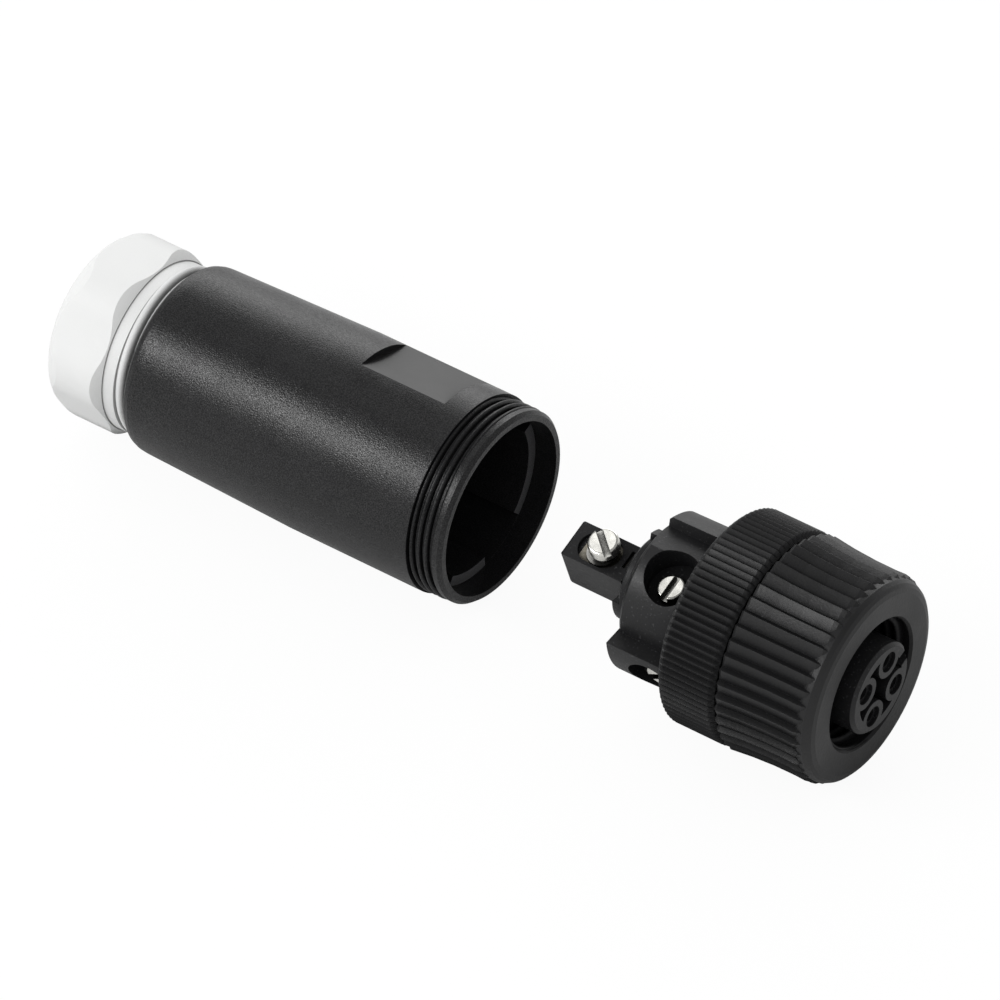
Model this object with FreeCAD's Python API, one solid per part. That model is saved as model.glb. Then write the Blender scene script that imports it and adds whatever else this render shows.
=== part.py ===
import FreeCAD, Part
import math
import os

V = FreeCAD.Vector
X = V(1, 0, 0)

# Inline socket connector, four contacts, shown with its cable housing drawn off.
# Millimetres. X is the common axis and points out of the socket face.
# X = 0, on the axis, is the front face of the coupling nut.

# Driving sizes: everything else follows from these and the clearances.
COUPLING_R = 6.0      # groove bottom of the coupling thread
NUT_WALL = 3.89       # from there to the rib tips of the coupling nut
NUT_L = 9.15
RING_L = 5.65
DRUM_L = 10.5
HUB_L = 1.55
ARM_L = 7.3
DRAWN_OFF = 7.5       # from the end of the arm to the housing mouth
HOUSING_L = 33.85

# Turn of the contact pattern about X. Radial directions are angles from +Y to +Z.
CODE_TURN = 19.0

# Fits, all radial
RUN = 0.05            # a ring turning on its seat
SCREW_FIT = 0.05      # a thread crest inside its plain bore
FREE = 0.20           # pads sliding in the housing bore

# Radii that follow the coupling: the nut, the insert that the plug's sleeve slides
# over, the circle of the four contacts, the cable housing and the cable
NUT_R = COUPLING_R + NUT_WALL
INSERT_R = COUPLING_R - 1.82
PIN_CIRCLE_R = 0.598 * INSERT_R
BODY_R = NUT_R - 0.72
CABLE_BORE_R = 0.458 * BODY_R

# Cable housing, from its outside inwards
BODY_R_BACK = BODY_R - 0.42
THREAD_CREST_R = BODY_R - 0.17
THREAD_ROOT_R = THREAD_CREST_R - 0.4
RIM_R = THREAD_CREST_R - 0.1
BORE_R = BODY_R - 1.12
LEDGE_R = BORE_R - 0.95
PAD_R = BORE_R - FREE

# Contact carrier
INSERT_FRONT = 0.95
JOURNAL_R = COUPLING_R + 0.45
FLANGE_R = THREAD_ROOT_R - 0.05
NECK_R = FLANGE_R - 1.2
DRUM_R = PAD_R - 1.6
HUB_R = DRUM_R - 2.2
HUB_CONE_L = 0.95
HUB_LUGS = ((44.0, 60.0, 0.4, 0.0), (161.0, 205.0, 0.0, 0.5))  # from, to, out, back
PIN_OFF = PIN_CIRCLE_R * math.sqrt(0.5)
KEYWAY_W = 1.2
KEYWAY_DEPTH = 1.3
KEYWAY_LONG = 5.5
STAR_DEPTH = 4.2
STAR_R = INSERT_R - 1.1
BOSS_R = 0.6 * PIN_CIRCLE_R
SOCKET_DISH_R = 0.38 * PIN_CIRCLE_R
SOCKET_DISH_DEPTH = 0.35
SOCKET_HOLE_R = 0.24 * PIN_CIRCLE_R

# Stations along the axis, from the nut backwards
NUT_BACK = -NUT_L
NUT_LIP_FRONT = NUT_BACK + 1.05
CLIP_BACK = NUT_LIP_FRONT + 0.15
CLIP_FRONT = CLIP_BACK + 0.7
SEAL_FACE = CLIP_FRONT + 0.55
SEAL_T = 0.85
SEAL_FRONT = SEAL_FACE + SEAL_T
NUT_CAVITY_FRONT = SEAL_FACE + 0.3
RING_FRONT = NUT_BACK - 0.2
RING_BACK = RING_FRONT - RING_L
RING_WEB = 0.65
FLANGE_FRONT = RING_FRONT - RING_WEB - RUN
FLANGE_BACK = FLANGE_FRONT - 0.85
PAD_FRONT = FLANGE_BACK - 0.1
DRUM_BACK = FLANGE_BACK - DRUM_L
HUB_BACK = DRUM_BACK - HUB_L
ARM_BACK = HUB_BACK - ARM_L
MOUTH = ARM_BACK - DRAWN_OFF
SHOULDER = MOUTH - 3.35
HOUSING_BACK = MOUTH - HOUSING_L

# Screw wells, pads and rib on the drum
SCREW_X = DRUM_BACK + 3.3
WELL_AHEAD = 0.15
WELL_SIDE = 0.572 * PIN_CIRCLE_R
WELL_R = 0.98 * PIN_CIRCLE_R
WELL_FLOOR = DRUM_R - 2.65
WELL_TURNS = (0.0, 90.0, 180.0)
WELL_STEPS = (0.0, 0.7, 0.0)   # the second terminal sits a little further forward
PADS = ((167.0, 214.0), (258.5, 292.5))
RIB_FROM = 31.0
RIB_TO = 59.0
RIB_R_BACK = DRUM_R + 0.53
RIB_R_FRONT = DRUM_R + 0.73
RIB_FLAT_TURN = 66.0
RIB_FLAT_OFF = DRUM_R - 0.45

# Rear arm with the fourth terminal
ARM_HALF = 1.82
ARM_TOP = 1.1
ARM_BOTTOM = -4.0
ARM_SCREW_X = ARM_BACK + 3.69
ARM_RECESS_R = 1.5
ARM_RECESS = (ARM_SCREW_X - 1.25, ARM_SCREW_X - 0.15)
SEAT_TOP = 0.75
SEAT_T = 0.7
TAB_SLOT_X = ARM_SCREW_X + 1.85
ARM_WASHER_R = 1.4
ARM_WASHER_T = 0.35
ARM_WASHER_SLIP = 0.45         # the loose washer has slipped back by this much

# Contacts
SLEEVE_R = 0.34 * PIN_CIRCLE_R
SLEEVE_BORE_R = 0.2 * PIN_CIRCLE_R
SLEEVE_FRONT = INSERT_FRONT - 1.35
SLEEVE_BACK = SCREW_X + 4.1
SLEEVE_DRILL = 7.0
BLOCK_R = 0.56 * PIN_CIRCLE_R
BLOCK_BACK = DRUM_BACK + 0.4
WIRE_BORE_R = 0.3 * PIN_CIRCLE_R
WIRE_BORE_L = 5.2
TAP_R = 0.32 * PIN_CIRCLE_R

# Clamp screws
HEAD_R = 0.5 * PIN_CIRCLE_R
ARM_HEAD_R = 0.55 * PIN_CIRCLE_R
HEAD_H = 1.0
SHANK_R = 0.3 * PIN_CIRCLE_R
SHANK_L = 3.1
SLOT_W = 0.65
SLOT_DEPTH = 0.5
HEAD_SEAT = WELL_FLOOR + 0.02
BACKED_OUT = 2.3
ARM_HEAD_SEAT = 2.1

# Seals
SEAL_SEAT_R = INSERT_R + 0.47
SEAL_R = SEAL_SEAT_R + 0.75
GASKET_T = 0.6
GASKET_R = FLANGE_R - 0.05

# Union ring
RING_R = NUT_R - 0.06
RING_TEETH = 90
RING_TOOTH_H = 0.28
RING_LEAD = 0.3

# Coupling nut: each station of the grip is its place, tip radius and tooth height.
NUT_RIBS = 46
NUT_LEAD = 0.2
NUT_CAVITY_R = JOURNAL_R + 0.85
NUT_GRIP = (
    (NUT_BACK, NUT_R - 0.2, 0.30), (NUT_BACK + 0.25, NUT_R, 0.42),
    (0.74 * NUT_BACK, NUT_R - 0.23, 0.42), (0.5 * NUT_BACK, NUT_R - 0.36, 0.42),
    (0.28 * NUT_BACK, NUT_R - 0.38, 0.42), (-1.6, NUT_R - 0.34, 0.42),
    (-1.15, NUT_R - 0.42, 0.38), (-0.85, NUT_R - 0.64, 0.2))
CLIP_R = NUT_CAVITY_R - 0.15
CLIP_GROOVE_R = JOURNAL_R - 0.45

# Housing details
RIM_L = 0.85
LEDGE_DEPTH = 2.2
LEDGES = ((217.0, 256.0), (295.0, 365.0), (85.0, 150.0))
WEB_HOLE_R = CABLE_BORE_R + 0.5
GLAND_BORE_START = HOUSING_BACK + 7.2
GROMMET_L = 4.0
WEB_BACK = GLAND_BORE_START + GROMMET_L
WEB_FRONT = WEB_BACK + 1.8
GROMMET_R = BORE_R - 1.25
GLAND_THREAD_R = BORE_R - 0.15
FLAT_TURN = 70.0
FLAT_OFF = BODY_R - 0.67
FLAT_FROM = MOUTH - 14.35
FLAT_TO = MOUTH - 5.65

# Gland parts and pressing screw
GROMMET_BORE_R = CABLE_BORE_R - 0.3
CAGE_L = 3.2
CAGE_R = GLAND_THREAD_R - 0.3
CAGE_BORE_R = CABLE_BORE_R + 0.2
CAGE_SLOTS = 8
CAGE_SLOT_W = 0.7
CAGE_BACK = GLAND_BORE_START - CAGE_L
WASHER_T = 0.5
WASHER_BACK = CAGE_BACK - WASHER_T
PRESS_ROOT_R = GLAND_THREAD_R - 0.35
PRESS_HEAD_FRONT = HOUSING_BACK - 2.6
PRESS_HEAD_L = 6.35
PRESS_BACK = PRESS_HEAD_FRONT - PRESS_HEAD_L
PRESS_AF = 2 * (BODY_R - 1.12)
PRESS_CORNER_R = BODY_R - 0.55
PRESS_HEX_TURN = 26.5
PRESS_FILLET = 4.5


def revolve(points):
    pts = [V(x, r, 0) for x, r in points]
    wire = Part.makePolygon(pts + [pts[0]])
    return Part.Face(wire).revolve(V(0, 0, 0), X, 360)


def tube(x0, x1, r_out, r_in):
    return revolve([(x0, r_in), (x1, r_in), (x1, r_out), (x0, r_out)])


def rod(x0, x1, r, y=0.0, z=0.0):
    return Part.makeCylinder(r, x1 - x0, V(x0, y, z), X)


def post(x, y, z0, z1, r):
    return Part.makeCylinder(r, z1 - z0, V(x, y, z0), V(0, 0, 1))


def box(x0, x1, y0, y1, z0, z1):
    return Part.makeBox(x1 - x0, y1 - y0, z1 - z0, V(x0, y0, z0))


def turned(shape, degrees):
    out = shape.copy()
    out.rotate(V(0, 0, 0), X, degrees)
    return out


def sector(x0, x1, r_out, r_in, start, stop):
    """A ring segment from the angle start to stop."""
    ring = Part.makeCylinder(r_out, x1 - x0, V(x0, 0, 0), X, stop - start)
    ring = ring.cut(rod(x0 - 1, x1 + 1, r_in))
    seam = ring.Vertexes
    low = min(math.degrees(math.atan2(v.Z, v.Y)) % 360 for v in seam)
    return turned(ring, start - low)


def grip(stations, count, lead):
    """Saw-tooth ribs lofted through stations of place, tip radius and tooth height:
    a steep flank that takes the share lead of each pitch, then a long slope back."""
    wires = []
    step = 360.0 / count
    for x, r_tip, height in stations:
        pts = []
        for i in range(count):
            a = math.radians(i * step)
            b = math.radians((i + lead) * step)
            r_root = r_tip - height
            pts.append(V(x, r_root * math.cos(a), r_root * math.sin(a)))
            pts.append(V(x, r_tip * math.cos(b), r_tip * math.sin(b)))
        wires.append(Part.makePolygon(pts + [pts[0]]))
    return Part.makeLoft(wires, True, True)


def save(name, shape):
    os.makedirs("parts", exist_ok=True)
    shape.exportStep("parts/%s.step" % name)
    solids = len(shape.Solids)
    print(name, "solids", solids, "valid", shape.isValid(), "volume %.2f" % shape.Volume)


def well_place(shape, turn):
    return turned(shape, turn + CODE_TURN)


# Contact carrier: one moulding of insert, journal, flange, drum, hub and rear arm.
# Its own frame has the arm's screw pointing up; it is turned to the code angle at the end.
body = revolve([
    (HUB_BACK, 0), (HUB_BACK, HUB_R - 0.2), (HUB_BACK + 0.2, HUB_R),
    (DRUM_BACK - HUB_CONE_L, HUB_R), (DRUM_BACK, DRUM_R - 0.35), (DRUM_BACK + 0.35, DRUM_R),
    (FLANGE_BACK, DRUM_R), (FLANGE_BACK, FLANGE_R), (FLANGE_FRONT, FLANGE_R),
    (FLANGE_FRONT, NECK_R), (RING_FRONT + 0.08, NECK_R), (RING_FRONT + 0.08, JOURNAL_R),
    (CLIP_BACK, JOURNAL_R), (CLIP_BACK, CLIP_GROOVE_R), (CLIP_FRONT, CLIP_GROOVE_R),
    (CLIP_FRONT, JOURNAL_R), (SEAL_FACE - 0.2, JOURNAL_R), (SEAL_FACE, JOURNAL_R - 0.2),
    (SEAL_FACE, SEAL_SEAT_R), (SEAL_FRONT - 0.05, SEAL_SEAT_R), (SEAL_FRONT - 0.05, INSERT_R),
    (INSERT_FRONT - 0.3, INSERT_R), (INSERT_FRONT, INSERT_R - 0.3), (INSERT_FRONT, 0)])
rib_flat = box(DRUM_BACK - 1, FLANGE_BACK - 0.2, RIB_FLAT_OFF, DRUM_R + 3, -5, 5)
body = body.cut(turned(rib_flat, RIB_FLAT_TURN))
for start, stop, out, back in HUB_LUGS:
    body = body.fuse(sector(HUB_BACK - back, DRUM_BACK, HUB_R + out, HUB_R - 1.5, start, stop))
for start, stop in PADS:
    body = body.fuse(sector(DRUM_BACK, PAD_FRONT, PAD_R, DRUM_R - 0.5, start, stop))
rib = sector(DRUM_BACK, FLANGE_BACK, RIB_R_FRONT + 1, DRUM_R - 0.9, RIB_FROM, RIB_TO)
taper = revolve([
    (DRUM_BACK, 0), (DRUM_BACK, RIB_R_BACK - 0.25), (DRUM_BACK + 0.25, RIB_R_BACK),
    (FLANGE_BACK, RIB_R_FRONT), (FLANGE_BACK, 0)])
body = body.fuse(rib.common(taper))
arm = box(ARM_BACK, DRUM_BACK, -ARM_HALF, ARM_HALF, ARM_BOTTOM, ARM_TOP)
arm = arm.makeFillet(0.3, [
    e for e in arm.Edges
    if abs(e.CenterOfMass.x - ARM_BACK) < 0.01 and abs(e.CenterOfMass.z - ARM_BOTTOM) > 0.01])
low = [
    e for e in arm.Edges
    if abs(e.CenterOfMass.z - ARM_BOTTOM) < 0.01 and abs(e.CenterOfMass.x - ARM_BACK) < 0.4]
arm = arm.makeFillet(0.8, low)
body = body.fuse(arm)

# Insert face: star recess between the four contact bosses, keyway and socket holes
SOCKETS = []
for k in range(4):
    a = math.radians(45 + 90 * k)
    SOCKETS.append((PIN_CIRCLE_R * math.cos(a), PIN_CIRCLE_R * math.sin(a)))
star_floor = INSERT_FRONT - STAR_DEPTH
star = rod(star_floor, INSERT_FRONT + 1, STAR_R)
for k, (y, z) in enumerate(SOCKETS):
    boss = rod(star_floor - 1, INSERT_FRONT + 2, BOSS_R, y, z)
    web = box(star_floor - 1, INSERT_FRONT + 2, PIN_CIRCLE_R, INSERT_R + 1, -BOSS_R, BOSS_R)
    star = star.cut(boss).cut(turned(web, 45 + 90 * k))
cuts = [star]
cuts.append(box(
    INSERT_FRONT - KEYWAY_LONG, INSERT_FRONT + 1, INSERT_R - KEYWAY_DEPTH, INSERT_R + 1,
    -KEYWAY_W / 2, KEYWAY_W / 2))
for y, z in SOCKETS:
    cuts.append(rod(SLEEVE_FRONT, INSERT_FRONT + 1, SOCKET_HOLE_R, y, z))
    cuts.append(rod(INSERT_FRONT - SOCKET_DISH_DEPTH, INSERT_FRONT + 1, SOCKET_DISH_R, y, z))
    cuts.append(rod(SLEEVE_BACK, SLEEVE_FRONT, SLEEVE_R, y, z))

# Screw wells and the pockets that hold the three sleeve terminals. Each is a quarter turn
# on from the last, with its screw pointing up and its contact to the left.
for turn, ahead in zip(WELL_TURNS, WELL_STEPS):
    x = SCREW_X + ahead
    well = post(x + WELL_AHEAD, -WELL_SIDE, WELL_FLOOR, PAD_R + 3, WELL_R)
    stem = post(x, -PIN_OFF, WELL_FLOOR - 3, WELL_FLOOR + 1, SHANK_R + 0.15)
    pocket = rod(HUB_BACK - 1, SLEEVE_BACK, BLOCK_R, -PIN_OFF, PIN_OFF)
    for shape in (well, stem, pocket):
        cuts.append(turned(shape, turn))

# Arm: recess round the fourth screw, its seat plate and the strip that feeds it
for x in ARM_RECESS:
    cuts.append(post(x, 0, SEAT_TOP, ARM_TOP + 3, ARM_RECESS_R))
cuts.append(box(*ARM_RECESS, -ARM_RECESS_R, ARM_RECESS_R, SEAT_TOP, ARM_TOP + 3))
cuts.append(post(ARM_SCREW_X, 0, SEAT_TOP - SEAT_T - 2, SEAT_TOP, SHANK_R + 0.15))
seat_bottom = SEAT_TOP - SEAT_T
PLATE = (ARM_SCREW_X - 2.3, ARM_SCREW_X + 2.8, -1.3, 1.3, seat_bottom, SEAT_TOP)
STRIP = (ARM_SCREW_X + 2.0, SLEEVE_BACK + 0.6, 0.45, 1.3, seat_bottom, SEAT_TOP)
TAB = (SLEEVE_BACK - 0.4, SLEEVE_BACK + 0.6, 0.45, 1.3, seat_bottom, PIN_OFF)
TAB_SLOT = (TAB_SLOT_X, TAB_SLOT_X + 0.3, -0.55, 1.2, seat_bottom, ARM_TOP + 1)
for opening in (PLATE, STRIP, TAB, TAB_SLOT):
    cuts.append(box(*opening))
for shape in cuts:
    body = body.cut(shape)
carrier = turned(body.removeSplitter(), CODE_TURN)
save("contact_carrier", carrier)

# Three sleeve terminals: a socket sleeve in front, a drilled block behind
for number, (turn, ahead) in enumerate(zip(WELL_TURNS, WELL_STEPS), 1):
    sleeve = rod(SLEEVE_BACK, SLEEVE_FRONT, SLEEVE_R, -PIN_OFF, PIN_OFF)
    block = rod(BLOCK_BACK, SLEEVE_BACK, BLOCK_R, -PIN_OFF, PIN_OFF)
    contact = sleeve.fuse(block)
    socket = rod(SLEEVE_FRONT - SLEEVE_DRILL, SLEEVE_FRONT + 1, SLEEVE_BORE_R, -PIN_OFF, PIN_OFF)
    wire_bore = rod(BLOCK_BACK - 1, BLOCK_BACK + WIRE_BORE_L, WIRE_BORE_R, -PIN_OFF, PIN_OFF)
    tap = post(SCREW_X + ahead, -PIN_OFF, PIN_OFF - 1.32, PIN_OFF + BLOCK_R, TAP_R)
    contact = contact.cut(socket).cut(wire_bore).cut(tap)
    save("sleeve_contact_%d" % number, well_place(contact.removeSplitter(), turn))

# Fourth contact: sleeve, tab, strip and the tapped seat plate on the arm
strip = rod(SLEEVE_BACK, SLEEVE_FRONT, SLEEVE_R, PIN_OFF, PIN_OFF)
for piece in (PLATE, STRIP, TAB):
    strip = strip.fuse(box(*piece))
strip = strip.cut(rod(
    SLEEVE_FRONT - SLEEVE_DRILL, SLEEVE_FRONT + 1, SLEEVE_BORE_R, PIN_OFF, PIN_OFF))
strip = strip.cut(post(ARM_SCREW_X, 0, seat_bottom - 1, SEAT_TOP + 1, TAP_R))
save("strip_contact", turned(strip.removeSplitter(), CODE_TURN))


def screw(seat_z, slot_turn, head_r):
    """Slotted cheese-head screw standing on seat_z, its axis along Z."""
    top = seat_z + HEAD_H
    head = post(0, 0, seat_z, top, head_r)
    rim = [e for e in head.Edges if e.Closed and abs(e.CenterOfMass.z - top) < 0.01]
    head = head.makeFillet(0.25, rim)
    out = head.fuse(post(0, 0, seat_z - SHANK_L, seat_z, SHANK_R))
    slot = box(-3, 3, -SLOT_W / 2, SLOT_W / 2, top - SLOT_DEPTH, top + 1)
    slot.rotate(V(0, 0, 0), V(0, 0, 1), slot_turn)
    return out.cut(slot)


# The second screw is backed out until its head stands level with its pad.
SLOT_TURNS = (90.0, 35.0, 70.0)
LIFTS = (0.0, BACKED_OUT, 0.0)
terminals = zip(WELL_TURNS, WELL_STEPS, SLOT_TURNS, LIFTS)
for number, (turn, ahead, slot_turn, lift) in enumerate(terminals, 1):
    item = screw(HEAD_SEAT + lift, slot_turn, HEAD_R)
    item.translate(V(SCREW_X + ahead, -PIN_OFF, 0))
    save("clamp_screw_%d" % number, well_place(item, turn))
item = screw(ARM_HEAD_SEAT, -41.0, ARM_HEAD_R)
item.translate(V(ARM_SCREW_X, 0, 0))
save("arm_screw", turned(item, CODE_TURN))

# Clamp washer lying loose on the arm's seat plate
washer_x = ARM_SCREW_X - ARM_WASHER_SLIP
washer = post(washer_x, 0, SEAT_TOP, SEAT_TOP + ARM_WASHER_T, ARM_WASHER_R)
hole = post(washer_x, 0, SEAT_TOP - 1, SEAT_TOP + 1, SHANK_R + 0.1)
hole = hole.fuse(post(ARM_SCREW_X, 0, SEAT_TOP - 1, SEAT_TOP + 1, SHANK_R + 0.1))
slit = box(washer_x, ARM_SCREW_X, -SHANK_R - 0.1, SHANK_R + 0.1, SEAT_TOP - 1, SEAT_TOP + 1)
washer = washer.cut(hole.fuse(slit))
save("arm_washer", turned(washer, CODE_TURN))

# Face seal round the foot of the insert
seal = revolve([
    (SEAL_FACE, SEAL_SEAT_R), (SEAL_FRONT, SEAL_SEAT_R), (SEAL_FRONT, SEAL_R - 0.2),
    (SEAL_FRONT - 0.2, SEAL_R), (SEAL_FACE, SEAL_R)])
save("face_seal", seal)

# Flat gasket that the housing rim presses on
save("housing_gasket", tube(FLANGE_BACK - GASKET_T, FLANGE_BACK, GASKET_R, PAD_R + RUN))

# Union ring: fine saw-tooth grip outside, plain tapping bore and a web inside
ring = grip([
    (RING_BACK, RING_R - 0.45, 0.05), (RING_BACK + 0.3, RING_R - 0.08, RING_TOOTH_H),
    (RING_BACK + 0.45, RING_R, RING_TOOTH_H), (RING_FRONT - 0.5, RING_R, RING_TOOTH_H),
    (RING_FRONT - 0.3, RING_R - 0.1, RING_TOOTH_H), (RING_FRONT, RING_R - 0.45, 0.05)],
    RING_TEETH, RING_LEAD)
ring = ring.cut(revolve([
    (RING_BACK - 1, 0), (RING_BACK - 1, THREAD_CREST_R + SCREW_FIT),
    (RING_FRONT - RING_WEB, THREAD_CREST_R + SCREW_FIT),
    (RING_FRONT - RING_WEB, NECK_R + RUN), (RING_FRONT + 1, NECK_R + RUN),
    (RING_FRONT + 1, 0)]))
save("union_ring", ring)

# Coupling nut: coarse saw-tooth ribs on a waisted body, plain rounded rim in front
nut = grip(NUT_GRIP, NUT_RIBS, NUT_LEAD)
nut = nut.fuse(revolve([
    (-1.7, 0), (-1.7, NUT_R - 0.8), (-1.2, NUT_R - 0.63), (-0.75, NUT_R - 0.67),
    (-0.35, NUT_R - 0.87), (-0.12, NUT_R - 1.16), (0, NUT_R - 1.61), (0, 0)]))
nut = nut.cut(revolve([
    (NUT_BACK - 1, 0), (NUT_BACK - 1, JOURNAL_R + RUN), (NUT_LIP_FRONT, JOURNAL_R + RUN),
    (NUT_LIP_FRONT, NUT_CAVITY_R), (NUT_CAVITY_FRONT, NUT_CAVITY_R),
    (NUT_CAVITY_FRONT, COUPLING_R), (-0.25, COUPLING_R), (0.0, COUPLING_R + 0.2),
    (1, COUPLING_R + 0.2), (1, 0)]))
save("coupling_nut", nut)

# Split clip ring in the journal groove, in front of the nut's lip
clip = tube(CLIP_BACK, CLIP_FRONT, CLIP_R, CLIP_GROOVE_R)
clip = clip.cut(box(CLIP_BACK - 1, CLIP_FRONT + 1, -0.6, 0.6, -CLIP_R - 1, 0))
save("clip_ring", clip)

# Cable housing: drafted body, threaded mouth, guide ledges, web and gland bore
shell = revolve([
    (HOUSING_BACK, 0), (HOUSING_BACK, BODY_R - 0.87), (HOUSING_BACK + 0.25, BODY_R - 0.62),
    (HOUSING_BACK + 0.7, BODY_R - 0.47), (HOUSING_BACK + 1.2, BODY_R_BACK),
    (HOUSING_BACK + 16.6, BODY_R), (SHOULDER, BODY_R), (SHOULDER, THREAD_ROOT_R),
    (MOUTH - RIM_L - 0.15, THREAD_ROOT_R), (MOUTH - RIM_L, RIM_R), (MOUTH - 0.35, RIM_R),
    (MOUTH, RIM_R - 0.3), (MOUTH, 0)])
shell = shell.cut(revolve([
    (MOUTH + 1, 0), (MOUTH + 1, BORE_R), (WEB_FRONT, BORE_R), (WEB_FRONT, WEB_HOLE_R),
    (WEB_BACK, WEB_HOLE_R), (WEB_BACK, GROMMET_R), (GLAND_BORE_START, GROMMET_R),
    (GLAND_BORE_START, GLAND_THREAD_R + SCREW_FIT),
    (HOUSING_BACK - 1, GLAND_THREAD_R + SCREW_FIT), (HOUSING_BACK - 1, 0)]))
for start, stop in LEDGES:
    ledge = sector(WEB_FRONT, MOUTH - LEDGE_DEPTH, BORE_R + 0.3, LEDGE_R, start, stop)
    shell = shell.fuse(turned(ledge, CODE_TURN))
for turn in (FLAT_TURN, FLAT_TURN + 180):
    flat = box(FLAT_FROM, FLAT_TO, FLAT_OFF, BODY_R + 3, -BODY_R, BODY_R)
    shell = shell.cut(turned(flat, turn))
save("cable_housing", shell)

# Grommet, slotted cage and washer in the gland
grommet = revolve([
    (GLAND_BORE_START, GROMMET_BORE_R + 0.4), (GLAND_BORE_START + 0.5, GROMMET_BORE_R),
    (WEB_BACK - 0.5, GROMMET_BORE_R), (WEB_BACK, GROMMET_BORE_R + 0.4),
    (WEB_BACK, GROMMET_R), (GLAND_BORE_START, GROMMET_R)])
save("grommet", grommet)
cage = revolve([
    (CAGE_BACK, CAGE_BORE_R + 0.8), (CAGE_BACK, CAGE_R - 1.0), (CAGE_BACK + 1.0, CAGE_R),
    (GLAND_BORE_START, CAGE_R), (GLAND_BORE_START, CAGE_BORE_R),
    (CAGE_BACK + 1.0, CAGE_BORE_R)])
slot_front = GLAND_BORE_START - 0.8
for k in range(CAGE_SLOTS):
    slot = box(CAGE_BACK - 1, slot_front, 3, CAGE_R + 1, -CAGE_SLOT_W / 2, CAGE_SLOT_W / 2)
    cage = cage.cut(turned(slot, 360.0 * k / CAGE_SLOTS))
save("clamp_cage", cage)
save("gland_washer", tube(WASHER_BACK, CAGE_BACK, CAGE_R - 0.2, CAGE_BORE_R))

# Pressing screw: hexagon head with rounded corners, stub and cable bore
hexagon = []
for k in range(6):
    a = math.radians(PRESS_HEX_TURN + 30 + 60 * k)
    r = PRESS_AF / 2 / math.cos(math.radians(30))
    hexagon.append(V(PRESS_BACK, r * math.cos(a), r * math.sin(a)))
face = Part.Face(Part.makePolygon(hexagon + [hexagon[0]]))
head = face.extrude(V(PRESS_HEAD_L, 0, 0))
corners = [e for e in head.Edges if abs(abs(e.tangentAt(e.FirstParameter).x) - 1) < 0.01]
head = head.makeFillet(PRESS_FILLET, corners)
head = head.common(revolve([
    (PRESS_BACK, 0), (PRESS_BACK, PRESS_CORNER_R - 1.9), (PRESS_BACK + 0.15, PRESS_CORNER_R - 1.3),
    (PRESS_BACK + 0.55, PRESS_CORNER_R - 0.75), (PRESS_BACK + 1.2, PRESS_CORNER_R - 0.25),
    (PRESS_BACK + 2.0, PRESS_CORNER_R), (PRESS_HEAD_FRONT - 0.85, PRESS_CORNER_R),
    (PRESS_HEAD_FRONT, PRESS_CORNER_R - 0.65), (PRESS_HEAD_FRONT, 0)]))
stub = revolve([
    (PRESS_HEAD_FRONT, 0), (PRESS_HEAD_FRONT, PRESS_ROOT_R + 0.3),
    (PRESS_HEAD_FRONT + 1.15, PRESS_ROOT_R + 0.3), (PRESS_HEAD_FRONT + 1.3, PRESS_ROOT_R),
    (WASHER_BACK - 0.4, PRESS_ROOT_R), (WASHER_BACK, PRESS_ROOT_R - 0.4), (WASHER_BACK, 0)])
press = head.fuse(stub)
press = press.cut(revolve([
    (PRESS_BACK - 1, 0), (PRESS_BACK - 1, CABLE_BORE_R + 1.0), (PRESS_BACK, CABLE_BORE_R + 1.0),
    (PRESS_BACK + 1.0, CABLE_BORE_R), (WASHER_BACK + 1, CABLE_BORE_R), (WASHER_BACK + 1, 0)]))
save("pressing_screw", press)
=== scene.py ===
import bpy
import bmesh
import math
from mathutils import Matrix, Vector


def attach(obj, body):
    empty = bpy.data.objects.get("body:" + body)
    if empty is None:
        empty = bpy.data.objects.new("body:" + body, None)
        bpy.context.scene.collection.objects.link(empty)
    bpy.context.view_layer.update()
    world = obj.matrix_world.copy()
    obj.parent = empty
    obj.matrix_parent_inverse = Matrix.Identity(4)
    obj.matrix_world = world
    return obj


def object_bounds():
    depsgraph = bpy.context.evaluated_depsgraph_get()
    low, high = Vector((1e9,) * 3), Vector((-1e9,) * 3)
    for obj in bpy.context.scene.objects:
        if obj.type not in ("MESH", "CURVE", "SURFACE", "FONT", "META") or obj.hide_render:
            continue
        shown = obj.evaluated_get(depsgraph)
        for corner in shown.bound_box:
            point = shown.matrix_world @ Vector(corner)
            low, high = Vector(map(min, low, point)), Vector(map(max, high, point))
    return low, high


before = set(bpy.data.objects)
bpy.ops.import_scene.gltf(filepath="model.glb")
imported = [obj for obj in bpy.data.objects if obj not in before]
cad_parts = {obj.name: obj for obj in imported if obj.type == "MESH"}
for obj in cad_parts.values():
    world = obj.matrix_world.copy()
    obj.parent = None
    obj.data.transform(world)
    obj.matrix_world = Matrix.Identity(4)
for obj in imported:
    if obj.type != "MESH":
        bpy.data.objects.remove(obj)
cad_low, cad_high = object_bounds()
scene = bpy.context.scene
scene.view_settings.view_transform = "Standard"
MM = 0.001


# Camera
# A long lens looks down on the connector from the socket side, as in the photograph.
# Azimuth and elevation give the view, and the three offsets place the lens.
CAMERA_AZIMUTH = math.radians(35.60)
CAMERA_ELEVATION = math.radians(41.55)
CAMERA_OFFSET = (-30.804 * MM, 15.338 * MM, 827.7 * MM)
FOCAL_PIXELS = 9979
IMAGE_SIDE = 1000

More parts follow.
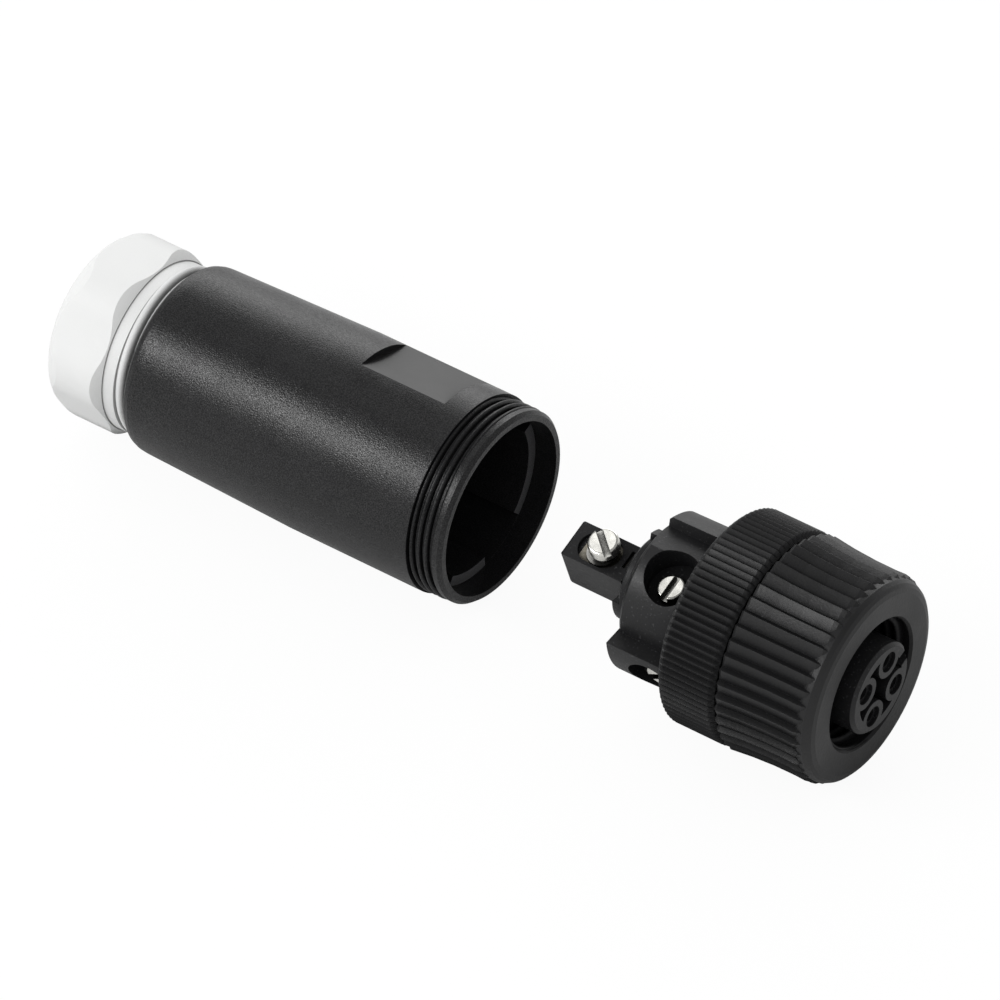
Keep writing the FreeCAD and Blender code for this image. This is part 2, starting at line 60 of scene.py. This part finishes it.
az = CAMERA_AZIMUTH
el = CAMERA_ELEVATION
to_right = Vector((math.cos(az), math.sin(az), 0))
to_top = Vector((-math.sin(el) * math.sin(az), math.sin(el) * math.cos(az), math.cos(el)))
to_lens = Vector((math.sin(az) * math.cos(el), -math.cos(az) * math.cos(el), math.sin(el)))
camera_data = bpy.data.cameras.new("camera")
camera_data.sensor_width = 36
camera_data.lens = 36 * FOCAL_PIXELS / IMAGE_SIDE
camera_data.clip_start = 0.05
camera_data.clip_end = 20
camera = bpy.data.objects.new("camera", camera_data)
scene.collection.objects.link(camera)
right, up, back = CAMERA_OFFSET
camera.location = to_right * right + to_top * up + to_lens * back
camera.rotation_mode = "QUATERNION"
camera.rotation_quaternion = (-to_lens).to_track_quat("-Z", "Y")
scene.camera = camera


# Studio
# A pale table in an even white tent, a long softbox in front on the left, a low one
# behind and a small card overhead. Shiny surfaces see the tent darken towards its top.
world = bpy.data.worlds.new("surround")
scene.world = world
world.use_nodes = True
nodes = world.node_tree.nodes
links = world.node_tree.links
surround = nodes["Background"]
rays = nodes.new("ShaderNodeLightPath")
sky = nodes.new("ShaderNodeTexCoord")
height = nodes.new("ShaderNodeSeparateXYZ")
fall = nodes.new("ShaderNodeMapRange")
fall.inputs["From Min"].default_value = 0.35
fall.inputs["From Max"].default_value = 0.90
fall.inputs["To Min"].default_value = 0.60
fall.inputs["To Max"].default_value = 0.25
mirrored = nodes.new("ShaderNodeMix")
mirrored.data_type = "FLOAT"
mirrored.inputs["A"].default_value = 0.70
links.new(sky.outputs["Generated"], height.inputs[0])
links.new(height.outputs["Z"], fall.inputs["Value"])
links.new(rays.outputs["Is Glossy Ray"], mirrored.inputs["Factor"])
links.new(fall.outputs["Result"], mirrored.inputs["B"])
links.new(mirrored.outputs["Result"], surround.inputs["Strength"])
surround.inputs["Color"].default_value = (1, 1, 1, 1)


def softbox(name, place, aim, size, watts):
    lamp = bpy.data.lights.new(name, "AREA")
    lamp.shape = "RECTANGLE"
    lamp.size, lamp.size_y = size
    lamp.energy = watts
    holder = bpy.data.objects.new(name, lamp)
    scene.collection.objects.link(holder)
    holder.location = place
    holder.rotation_mode = "QUATERNION"
    aim_line = Vector(aim) - Vector(place)
    holder.rotation_quaternion = aim_line.to_track_quat("-Z", "Y")


OBJECT_MIDDLE = (-0.04, 0, 0)
softbox("key", (-0.31, -0.42, 0.36), OBJECT_MIDDLE, (0.50, 0.12), 2.0)
softbox("rear", (-0.30, 0.50, 0.24), OBJECT_MIDDLE, (0.60, 0.34), 1.30)
softbox("card", (-0.19, 0.02, 0.34), (-0.022, 0, 0), (0.10, 0.10), 0.036)

TABLE_HALF = 1.5
table_mesh = bpy.data.meshes.new("table")
top = bmesh.new()
bmesh.ops.create_grid(top, x_segments=1, y_segments=1, size=TABLE_HALF)
bmesh.ops.translate(top, verts=top.verts, vec=(0, 0, cad_low.z))
top.to_mesh(table_mesh)
top.free()
table = bpy.data.objects.new("table", table_mesh)
scene.collection.objects.link(table)
paper = bpy.data.materials.new("white_paper")
paper.use_nodes = True
nodes = paper.node_tree.nodes
links = paper.node_tree.links
sheet = nodes["Principled BSDF"]
sheet.inputs["Base Color"].default_value = (0.62, 0.62, 0.62, 1)
sheet.inputs["Roughness"].default_value = 0.9
glow = nodes.new("ShaderNodeEmission")
glow.inputs["Strength"].default_value = 1.04
rays = nodes.new("ShaderNodeLightPath")
seen_share = nodes.new("ShaderNodeMath")
seen_share.operation = "MULTIPLY"
seen_share.inputs[1].default_value = 0.90
share = nodes.new("ShaderNodeMath")
share.operation = "MULTIPLY_ADD"
share.inputs[1].default_value = 0.15
blend = nodes.new("ShaderNodeMixShader")
links.new(rays.outputs["Is Camera Ray"], seen_share.inputs[0])
links.new(rays.outputs["Is Glossy Ray"], share.inputs[0])
links.new(seen_share.outputs[0], share.inputs[2])
links.new(share.outputs[0], blend.inputs["Fac"])
links.new(sheet.outputs["BSDF"], blend.inputs[1])
links.new(glow.outputs["Emission"], blend.inputs[2])
links.new(blend.outputs["Shader"], nodes["Material Output"].inputs["Surface"])
table_mesh.materials.append(paper)


# Cable housing
# Drafted tube of glass-filled nylon, moulded in a spark-eroded cavity, so its outside is
# finely pitted. The two wrench flats come from a smoother insert in the mould.
HOUSING_BLACK = (0.0085, 0.0085, 0.009, 1)
FLAT_ANGLE = math.radians(70)
FLAT_OFF = 8.5 * MM
FLAT_SPAN = (-52.1 * MM, -43.4 * MM)
FULL_SHEEN = 0.36


def moulded_black(name, colour, roughness, grain, depth, dust=0.0):
    """Black plastic with a fine moulded grain: grain pits per metre, depth in metres.
    Its edges are rounded by the mould, painted shade cuts its sheen in hollows, and dust
    sets how many pale specks lie on it."""
    material = bpy.data.materials.new(name)
    material.use_nodes = True
    tree = material.node_tree
    shader = tree.nodes["Principled BSDF"]
    place = tree.nodes.new("ShaderNodeTexCoord")
    # Painted shade: the sheen falls towards nothing in hollows, by how closed in each point
    # is within 9 mm.
    sheen_shade_ao = tree.nodes.new("ShaderNodeAmbientOcclusion")
    sheen_shade_ao.samples = 4
    sheen_shade_ao.inputs["Distance"].default_value = 9 * MM
    hollow_shade_fall = tree.nodes.new("ShaderNodeMath")
    hollow_shade_fall.operation = "POWER"
    hollow_shade_fall.inputs[1].default_value = 2.0
    tree.links.new(sheen_shade_ao.outputs["AO"], hollow_shade_fall.inputs[0])
    sheen = tree.nodes.new("ShaderNodeMath")
    sheen.name = "sheen"
    sheen.operation = "MULTIPLY"
    sheen.inputs[1].default_value = FULL_SHEEN
    tree.links.new(hollow_shade_fall.outputs[0], sheen.inputs[0])
    shader.inputs["Specular IOR Level"].default_value = FULL_SHEEN
    tree.links.new(sheen.outputs[0], shader.inputs["Specular IOR Level"])
    pits = tree.nodes.new("ShaderNodeTexNoise")
    pits.inputs["Scale"].default_value = grain
    pits.inputs["Detail"].default_value = 1
    pits.inputs["Roughness"].default_value = 0.62
    tree.links.new(place.outputs["Object"], pits.inputs["Vector"])
    edges = tree.nodes.new("ShaderNodeBevel")
    edges.samples = 3
    edges.inputs["Radius"].default_value = 0.07 * MM
    relief = tree.nodes.new("ShaderNodeBump")
    relief.name = "relief"
    relief.inputs["Strength"].default_value = 1.0
    relief.inputs["Distance"].default_value = depth
    tree.links.new(pits.outputs["Fac"], relief.inputs["Height"])
    tree.links.new(edges.outputs["Normal"], relief.inputs["Normal"])
    tree.links.new(relief.outputs["Normal"], shader.inputs["Normal"])
    clouds = tree.nodes.new("ShaderNodeTexNoise")
    clouds.inputs["Scale"].default_value = 260
    clouds.inputs["Detail"].default_value = 4
    tree.links.new(place.outputs["Object"], clouds.inputs["Vector"])
    tone = tree.nodes.new("ShaderNodeMix")
    tone.data_type = "RGBA"
    tone.inputs["A"].default_value = [c * 0.80 for c in colour[:3]] + [1]
    tone.inputs["B"].default_value = [c * (1.20 + 0.6 * dust) for c in colour[:3]] + [1]
    tree.links.new(clouds.outputs["Fac"], tone.inputs["Factor"])
    gloss = tree.nodes.new("ShaderNodeMapRange")
    gloss.inputs["From Min"].default_value = 0.3
    gloss.inputs["From Max"].default_value = 0.7
    gloss.inputs["To Min"].default_value = roughness - 0.03
    gloss.inputs["To Max"].default_value = roughness + 0.05
    tree.links.new(clouds.outputs["Fac"], gloss.inputs["Value"])
    tree.links.new(gloss.outputs["Result"], shader.inputs["Roughness"])
    specks = tree.nodes.new("ShaderNodeTexNoise")
    specks.inputs["Scale"].default_value = 4600
    specks.inputs["Detail"].default_value = 1
    tree.links.new(place.outputs["Object"], specks.inputs["Vector"])
    fleck = tree.nodes.new("ShaderNodeMapRange")
    fleck.name = "fleck"
    fleck.inputs["From Min"].default_value = 0.76 - 0.10 * dust
    fleck.inputs["From Max"].default_value = 0.84 - 0.10 * dust
    fleck.inputs["To Max"].default_value = 0.5
    tree.links.new(specks.outputs["Fac"], fleck.inputs["Value"])
    pale_mix = tree.nodes.new("ShaderNodeMix")
    pale_mix.name = "pale_mix"
    pale_mix.data_type = "RGBA"
    pale_mix.inputs["B"].default_value = (0.075, 0.075, 0.078, 1)
    tree.links.new(fleck.outputs["Result"], pale_mix.inputs["Factor"])
    tree.links.new(tone.outputs["Result"], pale_mix.inputs["A"])
    tree.links.new(pale_mix.outputs["Result"], shader.inputs["Base Color"])
    return material


def dress(node, material):
    """Gives a node its finish."""
    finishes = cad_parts[node].data.materials
    finishes.clear()
    finishes.append(material)


housing_skin = moulded_black(
    "housing_black", HOUSING_BLACK, roughness=0.30, grain=8200, depth=0.026 * MM)
dress("cable_housing", housing_skin)

# Smooth patches on both wrench flats: within their length, and as far from the axis as the
# flats are or further, less a hair so that the flats themselves count.
HAIR = 0.02 * MM
tree = housing_skin.node_tree
place = tree.nodes.new("ShaderNodeTexCoord")
across = tree.nodes.new("ShaderNodeVectorMath")
across.operation = "DOT_PRODUCT"
across.inputs[1].default_value = (0, math.cos(FLAT_ANGLE), math.sin(FLAT_ANGLE))
tree.links.new(place.outputs["Object"], across.inputs[0])
depth = tree.nodes.new("ShaderNodeMath")
depth.operation = "ABSOLUTE"
tree.links.new(across.outputs["Value"], depth.inputs[0])
on_level = tree.nodes.new("ShaderNodeMath")
on_level.operation = "GREATER_THAN"
on_level.inputs[1].default_value = FLAT_OFF - HAIR
tree.links.new(depth.outputs[0], on_level.inputs[0])
along = tree.nodes.new("ShaderNodeSeparateXYZ")
tree.links.new(place.outputs["Object"], along.inputs[0])
inside = tree.nodes.new("ShaderNodeMath")
inside.operation = "COMPARE"
inside.inputs[1].default_value = (FLAT_SPAN[0] + FLAT_SPAN[1]) / 2
inside.inputs[2].default_value = (FLAT_SPAN[1] - FLAT_SPAN[0]) / 2
tree.links.new(along.outputs["X"], inside.inputs[0])
on_flat = tree.nodes.new("ShaderNodeMath")
on_flat.operation = "MULTIPLY"
tree.links.new(on_level.outputs[0], on_flat.inputs[0])
tree.links.new(inside.outputs[0], on_flat.inputs[1])
calm = tree.nodes.new("ShaderNodeMapRange")
calm.inputs["To Min"].default_value = 1.0
calm.inputs["To Max"].default_value = 0.16
tree.links.new(on_flat.outputs[0], calm.inputs["Value"])
tree.links.new(calm.outputs["Result"], tree.nodes["relief"].inputs["Strength"])
glints = tree.nodes.new("ShaderNodeTexNoise")
glints.inputs["Scale"].default_value = 9500
glints.inputs["Detail"].default_value = 1
tree.links.new(place.outputs["Object"], glints.inputs["Vector"])
sparkle = tree.nodes.new("ShaderNodeMapRange")
sparkle.inputs["From Min"].default_value = 0.38
sparkle.inputs["From Max"].default_value = 0.66
sparkle.inputs["To Min"].default_value = 0.22
sparkle.inputs["To Max"].default_value = 0.58
tree.links.new(glints.outputs["Fac"], sparkle.inputs["Value"])
shine = tree.nodes.new("ShaderNodeMapRange")
shine.inputs["To Max"].default_value = 0.38
tree.links.new(sparkle.outputs["Result"], shine.inputs["To Min"])
tree.links.new(on_flat.outputs[0], shine.inputs["Value"])
tree.links.new(shine.outputs["Result"], tree.nodes["sheen"].inputs[1])

# Painted light: the end faces of the guide ledges inside the mouth take the pale speck
# colour
LEDGE_END_X = -39.95 * MM
LEDGE_END_DEPTH = 0.004 * MM
ledge_end_light = tree.nodes.new("ShaderNodeMath")
ledge_end_light.operation = "COMPARE"
ledge_end_light.inputs[1].default_value = LEDGE_END_X
ledge_end_light.inputs[2].default_value = LEDGE_END_DEPTH
tree.links.new(along.outputs["X"], ledge_end_light.inputs[0])
# The pale speck colour here marks both dust and the painted light on the ledge ends.
dust_and_ledge_light = tree.nodes.new("ShaderNodeMath")
dust_and_ledge_light.operation = "MAXIMUM"
tree.links.new(ledge_end_light.outputs[0], dust_and_ledge_light.inputs[0])
tree.links.new(tree.nodes["fleck"].outputs["Result"], dust_and_ledge_light.inputs[1])
tree.links.new(dust_and_ledge_light.outputs[0], tree.nodes["pale_mix"].inputs["Factor"])


# Housing thread
# Fine external thread of 0.75 mm pitch on the housing mouth, moulded with it. It starts in
# the shoulder and runs out into the plain rim.
MOUTH = -37.75 * MM
SHOULDER = MOUTH - 3.35 * MM
MOUTH_ROOT_R = 8.6 * MM
MOUTH_CREST_R = 8.98 * MM
MOUTH_PITCH = 0.75 * MM
MOUTH_THREAD_START = SHOULDER - 0.1 * MM
MOUTH_THREAD_END = MOUTH - 0.85 * MM
STEPS_PER_TURN = 72


def thread_ridge(name, start, stop, root, crest, pitch, phase, fade, material, body):
    """A helical ridge about X from start to stop. It dips under the root over the first
    and last fade turns, and points inwards when the crest is smaller than the root."""
    turns = (stop - start) / pitch
    bury = 0.06 * MM if crest > root else -0.06 * MM
    sunk = root - bury
    foot = 0.46 * pitch
    brow = 0.13 * pitch
    brow_r = crest - 0.12 * (crest - root)
    outline = ((-foot, sunk), (-brow, brow_r), (0, crest), (brow, brow_r), (foot, sunk))
    ridge = bmesh.new()
    corners = [ridge.verts.new((start + x, r, 0)) for x, r in outline]
    section = ridge.faces.new(corners)
    bmesh.ops.spin(
        ridge, geom=[section], cent=(0, 0, 0), axis=(1, 0, 0),
        dvec=(pitch / STEPS_PER_TURN, 0, 0), angle=2 * math.pi * turns,
        steps=round(turns * STEPS_PER_TURN), use_merge=False)
    for corner in ridge.verts:
        angle = math.atan2(corner.co.z, corner.co.y) / (2 * math.pi)
        turn = angle + round((corner.co.x - start) / pitch - angle)
        left = min(turn, turns - turn)
        if left < fade:
            r = math.hypot(corner.co.y, corner.co.z)
            low = min(r, sunk) if crest > root else max(r, sunk)
            keep = max(left, 0) / fade
            new_r = low + (r - low) * keep
            corner.co.y *= new_r / r
            corner.co.z *= new_r / r
    bmesh.ops.rotate(
        ridge, verts=ridge.verts, cent=(0, 0, 0), matrix=Matrix.Rotation(phase, 3, "X"))
    bmesh.ops.recalc_face_normals(ridge, faces=ridge.faces)
    mesh = bpy.data.meshes.new(name)
    ridge.to_mesh(mesh)
    ridge.free()
    mesh.shade_smooth()
    mesh.materials.append(material)
    piece = bpy.data.objects.new(name, mesh)
    scene.collection.objects.link(piece)
    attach(piece, body)
    return piece


mouth_thread = thread_ridge(
    "mouth_thread", MOUTH_THREAD_START, MOUTH_THREAD_END, MOUTH_ROOT_R, MOUTH_CREST_R,
    MOUTH_PITCH, phase=0.0, fade=0.2, material=housing_skin, body="housing")


# Contact carrier
# Insert, drum and arm in one black moulding with a smoother, slightly satin skin.
CARRIER_BLACK = (0.009, 0.009, 0.0095, 1)
SATIN_GRAIN = 3600
SATIN_DEPTH = 0.014 * MM
dress("contact_carrier", moulded_black(
    "carrier_black", CARRIER_BLACK, 0.42, SATIN_GRAIN, SATIN_DEPTH, dust=1.0))


# Union ring and coupling nut
# Two free-turning rings of black nylon with saw-tooth grips. Painted shade lowers the
# sheen in the valleys between the teeth.
UNION_BLACK = (0.010, 0.010, 0.0105, 1)
NUT_BLACK = (0.009, 0.009, 0.0095, 1)


def ribbed_black(name, colour, roughness):
    material = moulded_black(name, colour, roughness, SATIN_GRAIN, SATIN_DEPTH)
    tree = material.node_tree
    # Painted shade: the sheen drops in the valleys between the teeth, within 1 mm of a
    # wall.
    valley_shade_ao = tree.nodes.new("ShaderNodeAmbientOcclusion")
    valley_shade_ao.samples = 4
    valley_shade_ao.inputs["Distance"].default_value = 1.0 * MM
    valley_shade_sheen = tree.nodes.new("ShaderNodeMapRange")
    valley_shade_sheen.inputs["From Min"].default_value = 0.55
    valley_shade_sheen.inputs["To Min"].default_value = 0.04
    valley_shade_sheen.inputs["To Max"].default_value = 0.40
    tree.links.new(valley_shade_ao.outputs["AO"], valley_shade_sheen.inputs["Value"])
    tree.links.new(valley_shade_sheen.outputs["Result"], tree.nodes["sheen"].inputs[1])
    return material


dress("union_ring", ribbed_black("union_black", UNION_BLACK, roughness=0.44))
nut_skin = ribbed_black("nut_black", NUT_BLACK, roughness=0.40)
dress("coupling_nut", nut_skin)


# Coupling thread
# Internal 12 mm thread of 1 mm pitch that draws the socket onto its plug. It is moulded
# in the nut and starts half a turn behind the front face.
COUPLING_THREAD_START = -6.2 * MM
COUPLING_THREAD_END = -0.55 * MM
COUPLING_GROOVE_R = 6.0 * MM
COUPLING_CREST_R = 5.46 * MM
COUPLING_PITCH = 1.0 * MM
coupling_thread = thread_ridge(
    "coupling_thread", COUPLING_THREAD_START, COUPLING_THREAD_END, COUPLING_GROOVE_R,
    COUPLING_CREST_R, COUPLING_PITCH, phase=0.6, fade=0.25, material=nut_skin, body="nut")


# Pressing screw
# Light grey nylon hexagon with rounded corners, satin from a polished mould. Its stub has
# a coarse thread of which one turn shows behind the housing.
GLAND_GREY = (0.74, 0.745, 0.74, 1)


def moulded_grey(name, colour, roughness):
    """Pale nylon that lets a little light in, with painted shade darkening its hollows."""
    material = bpy.data.materials.new(name)
    material.use_nodes = True
    tree = material.node_tree
    shader = tree.nodes["Principled BSDF"]
    shader.inputs["Roughness"].default_value = roughness
    shader.inputs["Specular IOR Level"].default_value = 0.35
    shader.inputs["Subsurface Weight"].default_value = 0.12
    shader.inputs["Subsurface Radius"].default_value = (0.0012, 0.0012, 0.0011)
    shader.inputs["Subsurface Scale"].default_value = 1.0
    place = tree.nodes.new("ShaderNodeTexCoord")
    grain = tree.nodes.new("ShaderNodeTexNoise")
    grain.inputs["Scale"].default_value = 2600
    grain.inputs["Detail"].default_value = 2
    tree.links.new(place.outputs["Object"], grain.inputs["Vector"])
    relief = tree.nodes.new("ShaderNodeBump")
    relief.inputs["Distance"].default_value = 0.004 * MM
    tree.links.new(grain.outputs["Fac"], relief.inputs["Height"])
    tree.links.new(relief.outputs["Normal"], shader.inputs["Normal"])
    clouds = tree.nodes.new("ShaderNodeTexNoise")
    clouds.inputs["Scale"].default_value = 180
    tree.links.new(place.outputs["Object"], clouds.inputs["Vector"])
    tone = tree.nodes.new("ShaderNodeMix")
    tone.data_type = "RGBA"
    tone.inputs["A"].default_value = [c * 0.97 for c in colour[:3]] + [1]
    tone.inputs["B"].default_value = [min(c * 1.02, 1) for c in colour[:3]] + [1]
    tree.links.new(clouds.outputs["Fac"], tone.inputs["Factor"])
    # Painted shade: the colour darkens to about a quarter in hollows within 5 mm of a wall.
    colour_shade_ao = tree.nodes.new("ShaderNodeAmbientOcclusion")
    colour_shade_ao.samples = 4
    colour_shade_ao.inputs["Distance"].default_value = 5 * MM
    hollow_shade_fall = tree.nodes.new("ShaderNodeMapRange")
    hollow_shade_fall.inputs["From Min"].default_value = 0.42
    hollow_shade_fall.inputs["From Max"].default_value = 0.96
    tree.links.new(colour_shade_ao.outputs["AO"], hollow_shade_fall.inputs["Value"])
    shaded = tree.nodes.new("ShaderNodeMix")
    shaded.data_type = "RGBA"
    shaded.inputs["A"].default_value = [c * 0.26 for c in colour[:3]] + [1]
    tree.links.new(hollow_shade_fall.outputs["Result"], shaded.inputs["Factor"])
    tree.links.new(tone.outputs["Result"], shaded.inputs["B"])
    tree.links.new(shaded.outputs["Result"], shader.inputs["Base Color"])
    return material


gland_skin = moulded_grey("gland_grey", GLAND_GREY, roughness=0.55)
dress("pressing_screw", gland_skin)
STUB_THREAD_START = -73.6 * MM
STUB_THREAD_END = -68.6 * MM
STUB_ROOT_R = 7.55 * MM
STUB_CREST_R = 7.92 * MM
STUB_PITCH = 1.5 * MM
stub_thread = thread_ridge(
    "stub_thread", STUB_THREAD_START, STUB_THREAD_END, STUB_ROOT_R, STUB_CREST_R,
    STUB_PITCH, phase=-1.60, fade=0.2, material=gland_skin, body="press")


# Gland parts
# Slotted cage and slip washer of the same nylon, and a soft black grommet between them
# and the web in the housing.
CAGE_GREY = (0.60, 0.61, 0.60, 1)
WASHER_GREY = (0.55, 0.55, 0.52, 1)
dress("clamp_cage", moulded_grey("cage_grey", CAGE_GREY, roughness=0.5))
dress("gland_washer", moulded_grey("washer_grey", WASHER_GREY, roughness=0.5))


# Seals
# Nitrile rubber: the grommet, the face seal round the insert's foot and the flat gasket.
RUBBER_SHEEN = 0.3


def rubber(name, colour):
    material = moulded_black(name, colour, roughness=0.72, grain=2400, depth=0.010 * MM)
    material.node_tree.nodes["sheen"].inputs[1].default_value = RUBBER_SHEEN
    return material


dress("grommet", rubber("grommet_rubber", (0.030, 0.030, 0.030, 1)))
dress("face_seal", rubber("seal_rubber", (0.022, 0.022, 0.023, 1)))
dress("housing_gasket", rubber("gasket_rubber", (0.026, 0.026, 0.027, 1)))


# Metal parts
# Nickel-plated clamp screws and washer of steel, gilded sleeve contacts and a nickel-plated
# strip of brass, and a sprung steel clip.
def plated(name, colour, roughness, wear, reach=1.8 * MM):
    """Plated metal, darkened by painted shade in the hollows within reach of a wall."""
    material = bpy.data.materials.new(name)
    material.use_nodes = True
    tree = material.node_tree
    shader = tree.nodes["Principled BSDF"]
    shader.inputs["Metallic"].default_value = 1.0
    # Painted shade: the colour darkens to near black in hollows within reach of a wall.
    crevice_shade_ao = tree.nodes.new("ShaderNodeAmbientOcclusion")
    crevice_shade_ao.samples = 4
    crevice_shade_ao.inputs["Distance"].default_value = reach
    painted_crevice_shade = tree.nodes.new("ShaderNodeMix")
    painted_crevice_shade.data_type = "RGBA"
    painted_crevice_shade.inputs["A"].default_value = [c * 0.08 for c in colour[:3]] + [1]
    painted_crevice_shade.inputs["B"].default_value = colour
    bright = tree.nodes.new("ShaderNodeMapRange")
    bright.inputs["From Min"].default_value = 0.55
    bright.inputs["From Max"].default_value = 0.95
    tree.links.new(crevice_shade_ao.outputs["AO"], bright.inputs["Value"])
    tree.links.new(bright.outputs["Result"], painted_crevice_shade.inputs["Factor"])
    tree.links.new(painted_crevice_shade.outputs["Result"], shader.inputs["Base Color"])
    place = tree.nodes.new("ShaderNodeTexCoord")
    stains = tree.nodes.new("ShaderNodeTexNoise")
    stains.inputs["Scale"].default_value = 1500
    stains.inputs["Detail"].default_value = 4
    tree.links.new(place.outputs["Object"], stains.inputs["Vector"])
    haze = tree.nodes.new("ShaderNodeMapRange")
    haze.inputs["To Min"].default_value = roughness
    haze.inputs["To Max"].default_value = roughness + wear
    tree.links.new(stains.outputs["Fac"], haze.inputs["Value"])
    tree.links.new(haze.outputs["Result"], shader.inputs["Roughness"])
    relief = tree.nodes.new("ShaderNodeBump")
    relief.inputs["Distance"].default_value = 0.012 * MM
    tree.links.new(stains.outputs["Fac"], relief.inputs["Height"])
    tree.links.new(relief.outputs["Normal"], shader.inputs["Normal"])
    return material


SCREW_NICKEL = (0.88, 0.87, 0.82, 1)
WASHER_NICKEL = (0.80, 0.79, 0.75, 1)
GILT = (0.82, 0.62, 0.30, 1)
STRIP_NICKEL = (0.72, 0.67, 0.56, 1)
SPRING_STEEL = (0.60, 0.60, 0.60, 1)
screw_nickel = plated("screw_nickel", SCREW_NICKEL, roughness=0.12, wear=0.26)
for node in ("clamp_screw_1", "clamp_screw_2", "clamp_screw_3", "arm_screw"):
    dress(node, screw_nickel)
dress("arm_washer", plated("washer_nickel", WASHER_NICKEL, roughness=0.20, wear=0.2))
contact_gilt = plated("contact_brass", GILT, roughness=0.22, wear=0.2)
for node in ("sleeve_contact_1", "sleeve_contact_2", "sleeve_contact_3"):
    dress(node, contact_gilt)
dress("strip_contact", plated(
    "strip_nickel", STRIP_NICKEL, roughness=0.24, wear=0.2, reach=5 * MM))
dress("clip_ring", plated("clip_steel", SPRING_STEEL, roughness=0.28, wear=0.2))
